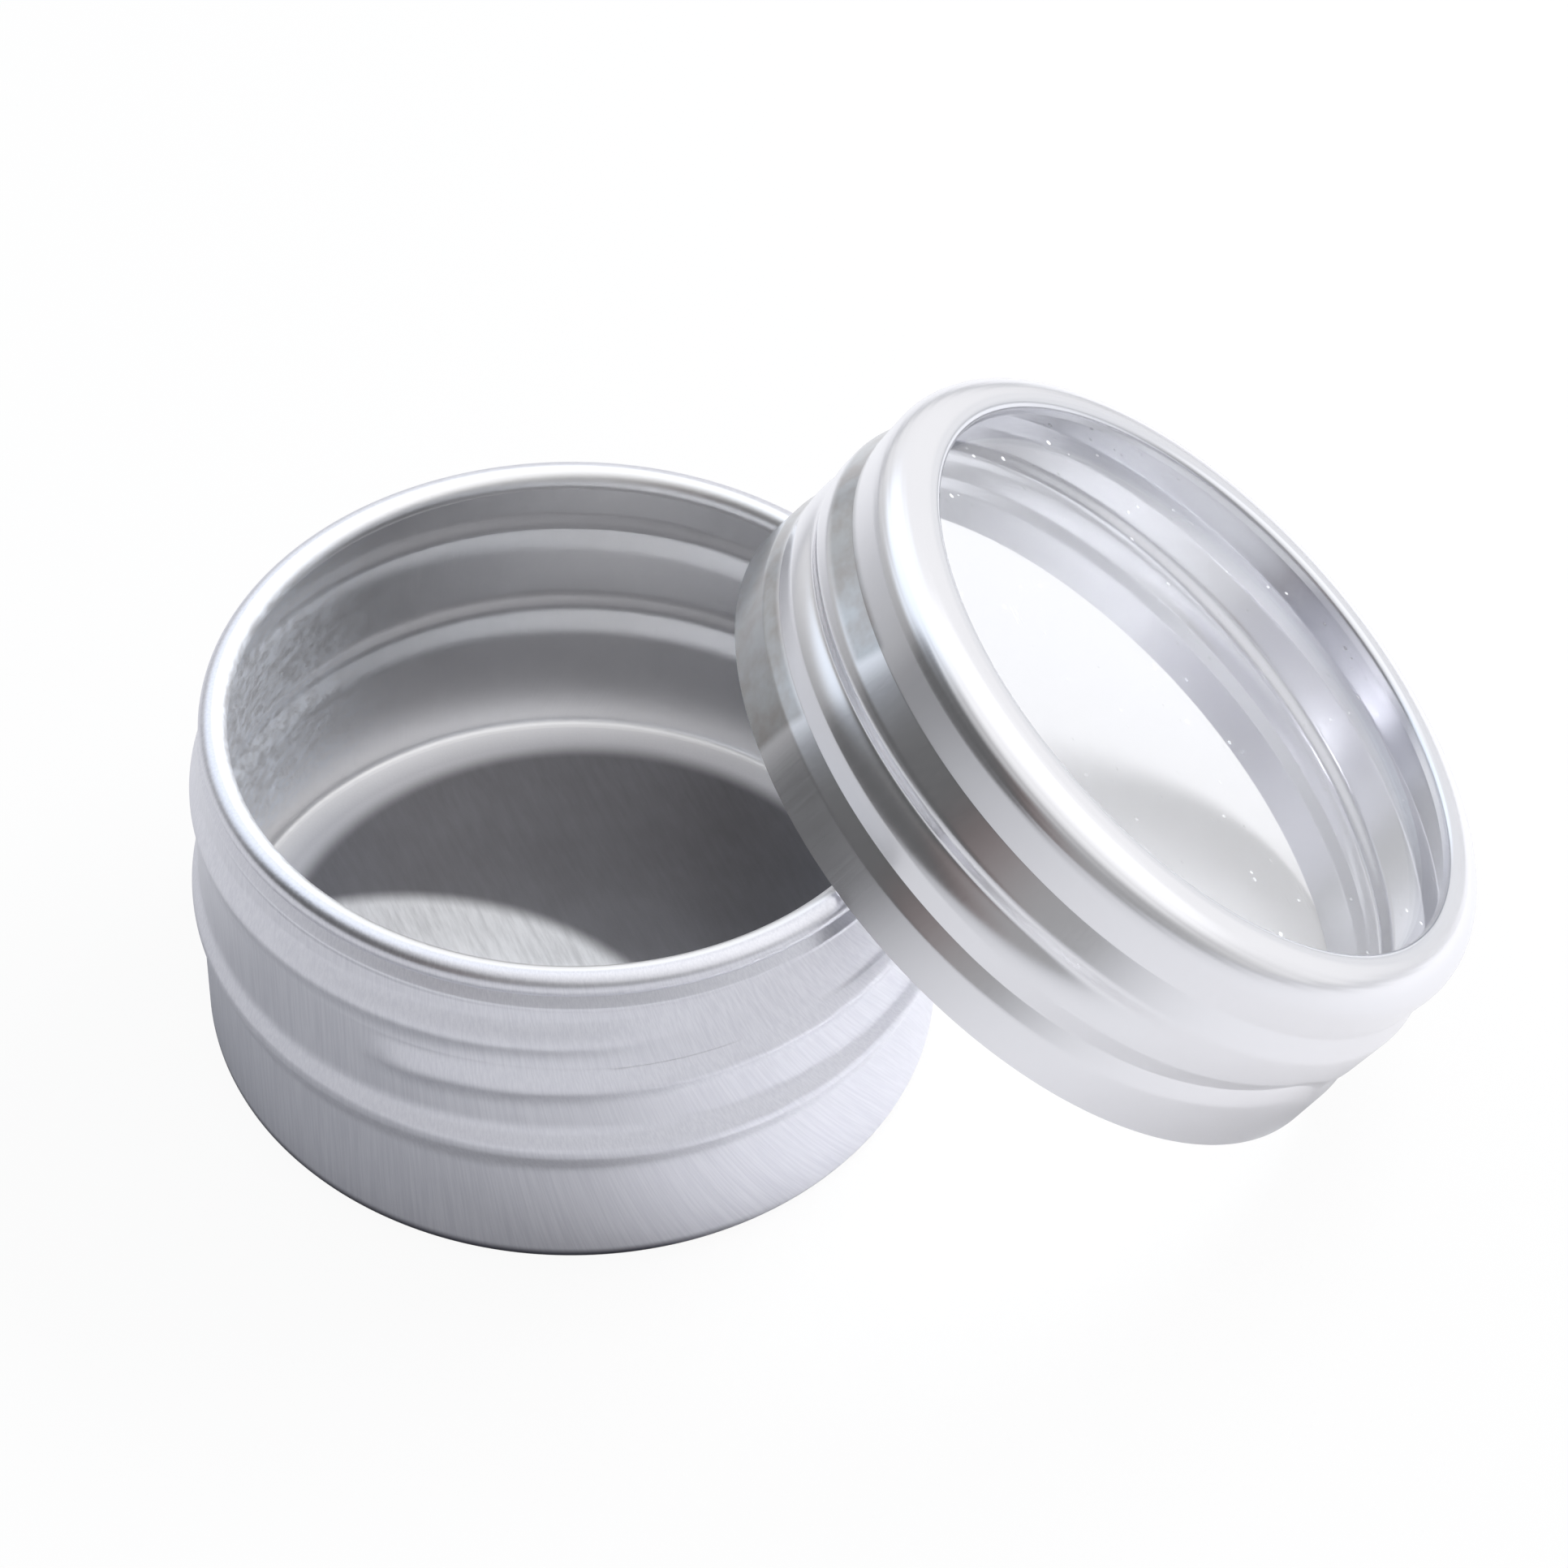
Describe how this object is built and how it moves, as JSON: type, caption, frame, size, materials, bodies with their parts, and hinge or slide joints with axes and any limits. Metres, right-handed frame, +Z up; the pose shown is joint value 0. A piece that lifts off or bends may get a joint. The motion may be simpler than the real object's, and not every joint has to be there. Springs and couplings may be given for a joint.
{
  "type": "window lid tin",
  "caption": "Round aluminium screw tin standing open, with its lid leaning on the rim: a metal ring with a clear window, a rolled thread and a plain skirt.",
  "frame": {"origin": "centre of the tin's flat underside", "axes": "+Z up along the tin's axis, +X towards the lid that leans on the rim, +Y completes the right-handed frame"},
  "size_m": [0.0643, 0.0392, 0.0316],
  "materials": {
    "brushed_can": "brushed",
    "polished_ring": "satin",
    "clear_window": "clear, lightly scratched"
  },
  "bodies": {
    "tin": {"tin_body": "brushed_can"},
    "window": {"window_disc": "clear_window"},
    "ring": {"lid_ring": "polished_ring"}
  },
  "joints": [
    {"name": "lid_lift", "type": "slide", "parent": "tin", "child": "window", "axis": [0.585, 0, 0.8111], "range_m": [0, 0.04]},
    {"name": "lid_turn", "type": "hinge", "parent": "window", "child": "ring", "pos_m": [0.02357, 0, 0.01143], "axis": [0.585, 0, 0.8111], "continuous": true}
  ]
}
